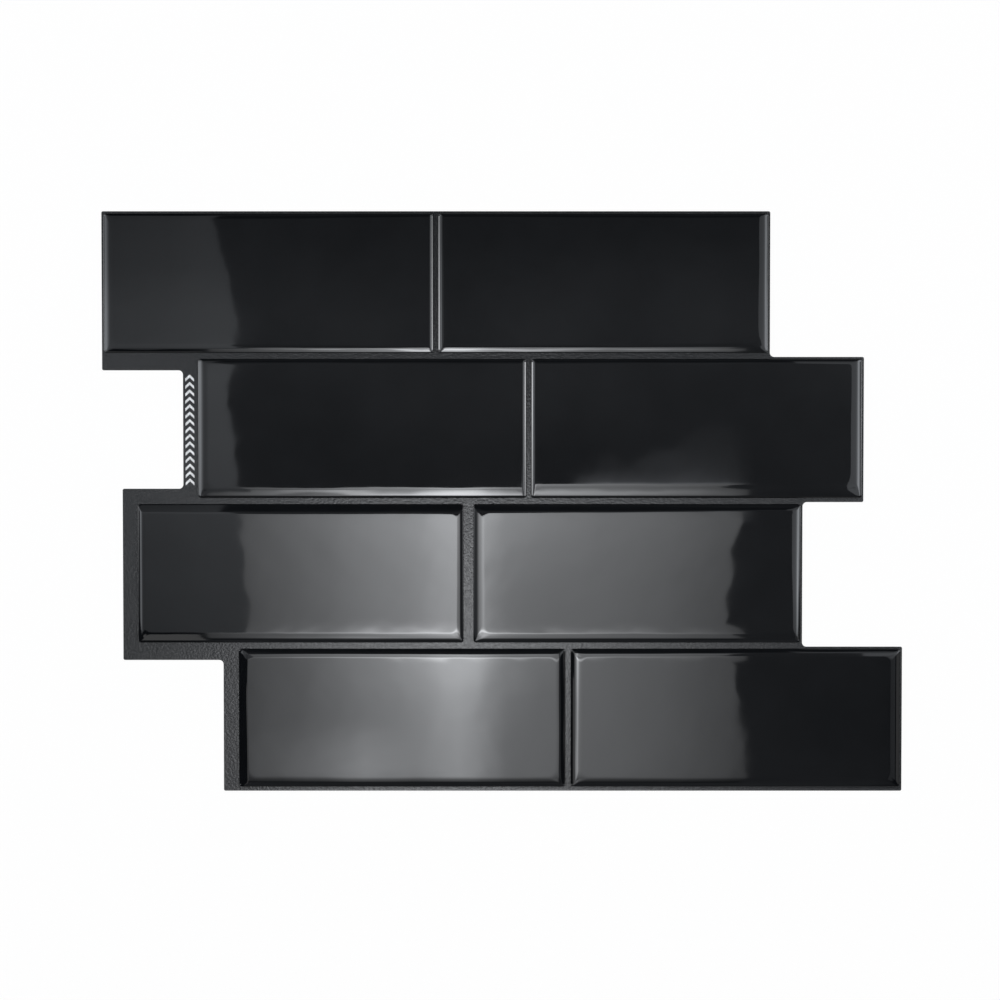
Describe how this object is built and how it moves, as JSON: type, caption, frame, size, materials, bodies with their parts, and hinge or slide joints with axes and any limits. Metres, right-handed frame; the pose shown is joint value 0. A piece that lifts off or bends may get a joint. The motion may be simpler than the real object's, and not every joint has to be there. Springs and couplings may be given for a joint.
{
  "type": "peel and stick backsplash tile",
  "caption": "Self-adhesive wall sheet: glossy black gel bricks in staggered rows on a stepped carrier film with overlap laps and a release liner.",
  "frame": {"origin": "centre of the release liner's underside, the face that goes to the wall", "axes": "+X along the rows of bricks to the right, +Y up the wall, +Z out of the bricks' glossy faces"},
  "size_m": [0.2936, 0.2128, 0.0016],
  "materials": {
    "black_gel": "glossy cast gel",
    "carrier_film": "satin, fine grain",
    "liner_paper": "matt coated release paper"
  },
  "bodies": {
    "root": {"carrier_sheet": "carrier_film", "release_liner": "liner_paper", "gel_tile_1_left": "black_gel", "gel_tile_1_right": "black_gel", "gel_tile_2_left": "black_gel", "gel_tile_2_right": "black_gel", "gel_tile_3_left": "black_gel", "gel_tile_3_right": "black_gel", "gel_tile_4_left": "black_gel", "gel_tile_4_right": "black_gel"}
  },
  "joints": []
}
